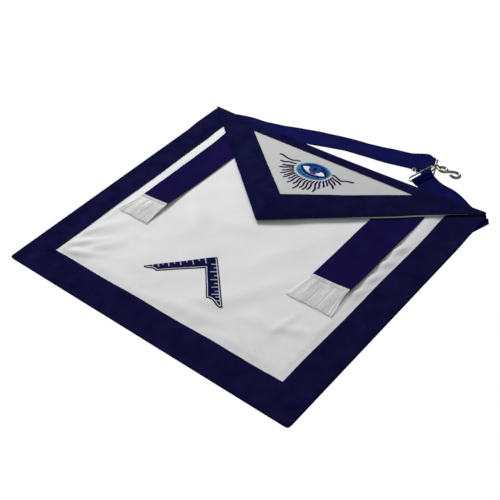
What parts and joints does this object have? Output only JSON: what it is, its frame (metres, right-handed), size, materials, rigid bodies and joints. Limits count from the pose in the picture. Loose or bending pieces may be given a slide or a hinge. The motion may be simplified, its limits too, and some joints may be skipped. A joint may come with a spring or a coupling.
{
  "type": "masonic apron",
  "caption": "White lodge apron lying flat, with a navy border, hanging ribbons with white fringes, a triangular flap with an eye, a square, and waist straps with a snake hook clasp.",
  "frame": {"origin": "centre of the panel's underside, half way up the apron's full height at its left edge", "axes": "+X along the waist to the wearer's left as the picture shows it, +Y towards the waist, +Z out of the apron's face"},
  "size_m": [0.4122, 0.3982, 0.0154],
  "materials": {
    "white_cloth": "smooth white cloth with soft wrinkles",
    "navy_ribbon": "fine ribbed navy ribbon",
    "strap_navy": "woven navy strap",
    "fringe_white": "white thread fringe",
    "embroidery_navy": "navy satin stitch",
    "embroidery_teal": "blue satin stitch",
    "steel": "bright nickel-plated wire"
  },
  "bodies": {
    "root": {"panel": "white_cloth", "border_left": "navy_ribbon", "border_right": "navy_ribbon", "border_bottom": "navy_ribbon", "ribbon_left": "navy_ribbon", "fringe_left": "fringe_white", "ribbon_right": "navy_ribbon", "fringe_right": "fringe_white", "flap_body": "white_cloth", "flap_band_left": "navy_ribbon", "flap_band_right": "navy_ribbon", "flap_band_waist": "navy_ribbon", "square_emblem": "embroidery_navy", "eye_emblem": "embroidery_teal", "strap_long": "strap_navy", "strap_short": "strap_navy", "loop_hook": "steel", "loop_eye": "steel"},
    "hook": {"snake_hook": "steel"}
  },
  "joints": [
    {"name": "hook_swing", "type": "hinge", "parent": "root", "child": "hook", "pos_m": [0.11023, 0.20944, 0.0034], "axis": [0.3811, -0.9245, 0], "range_deg": [0, 90]}
  ]
}
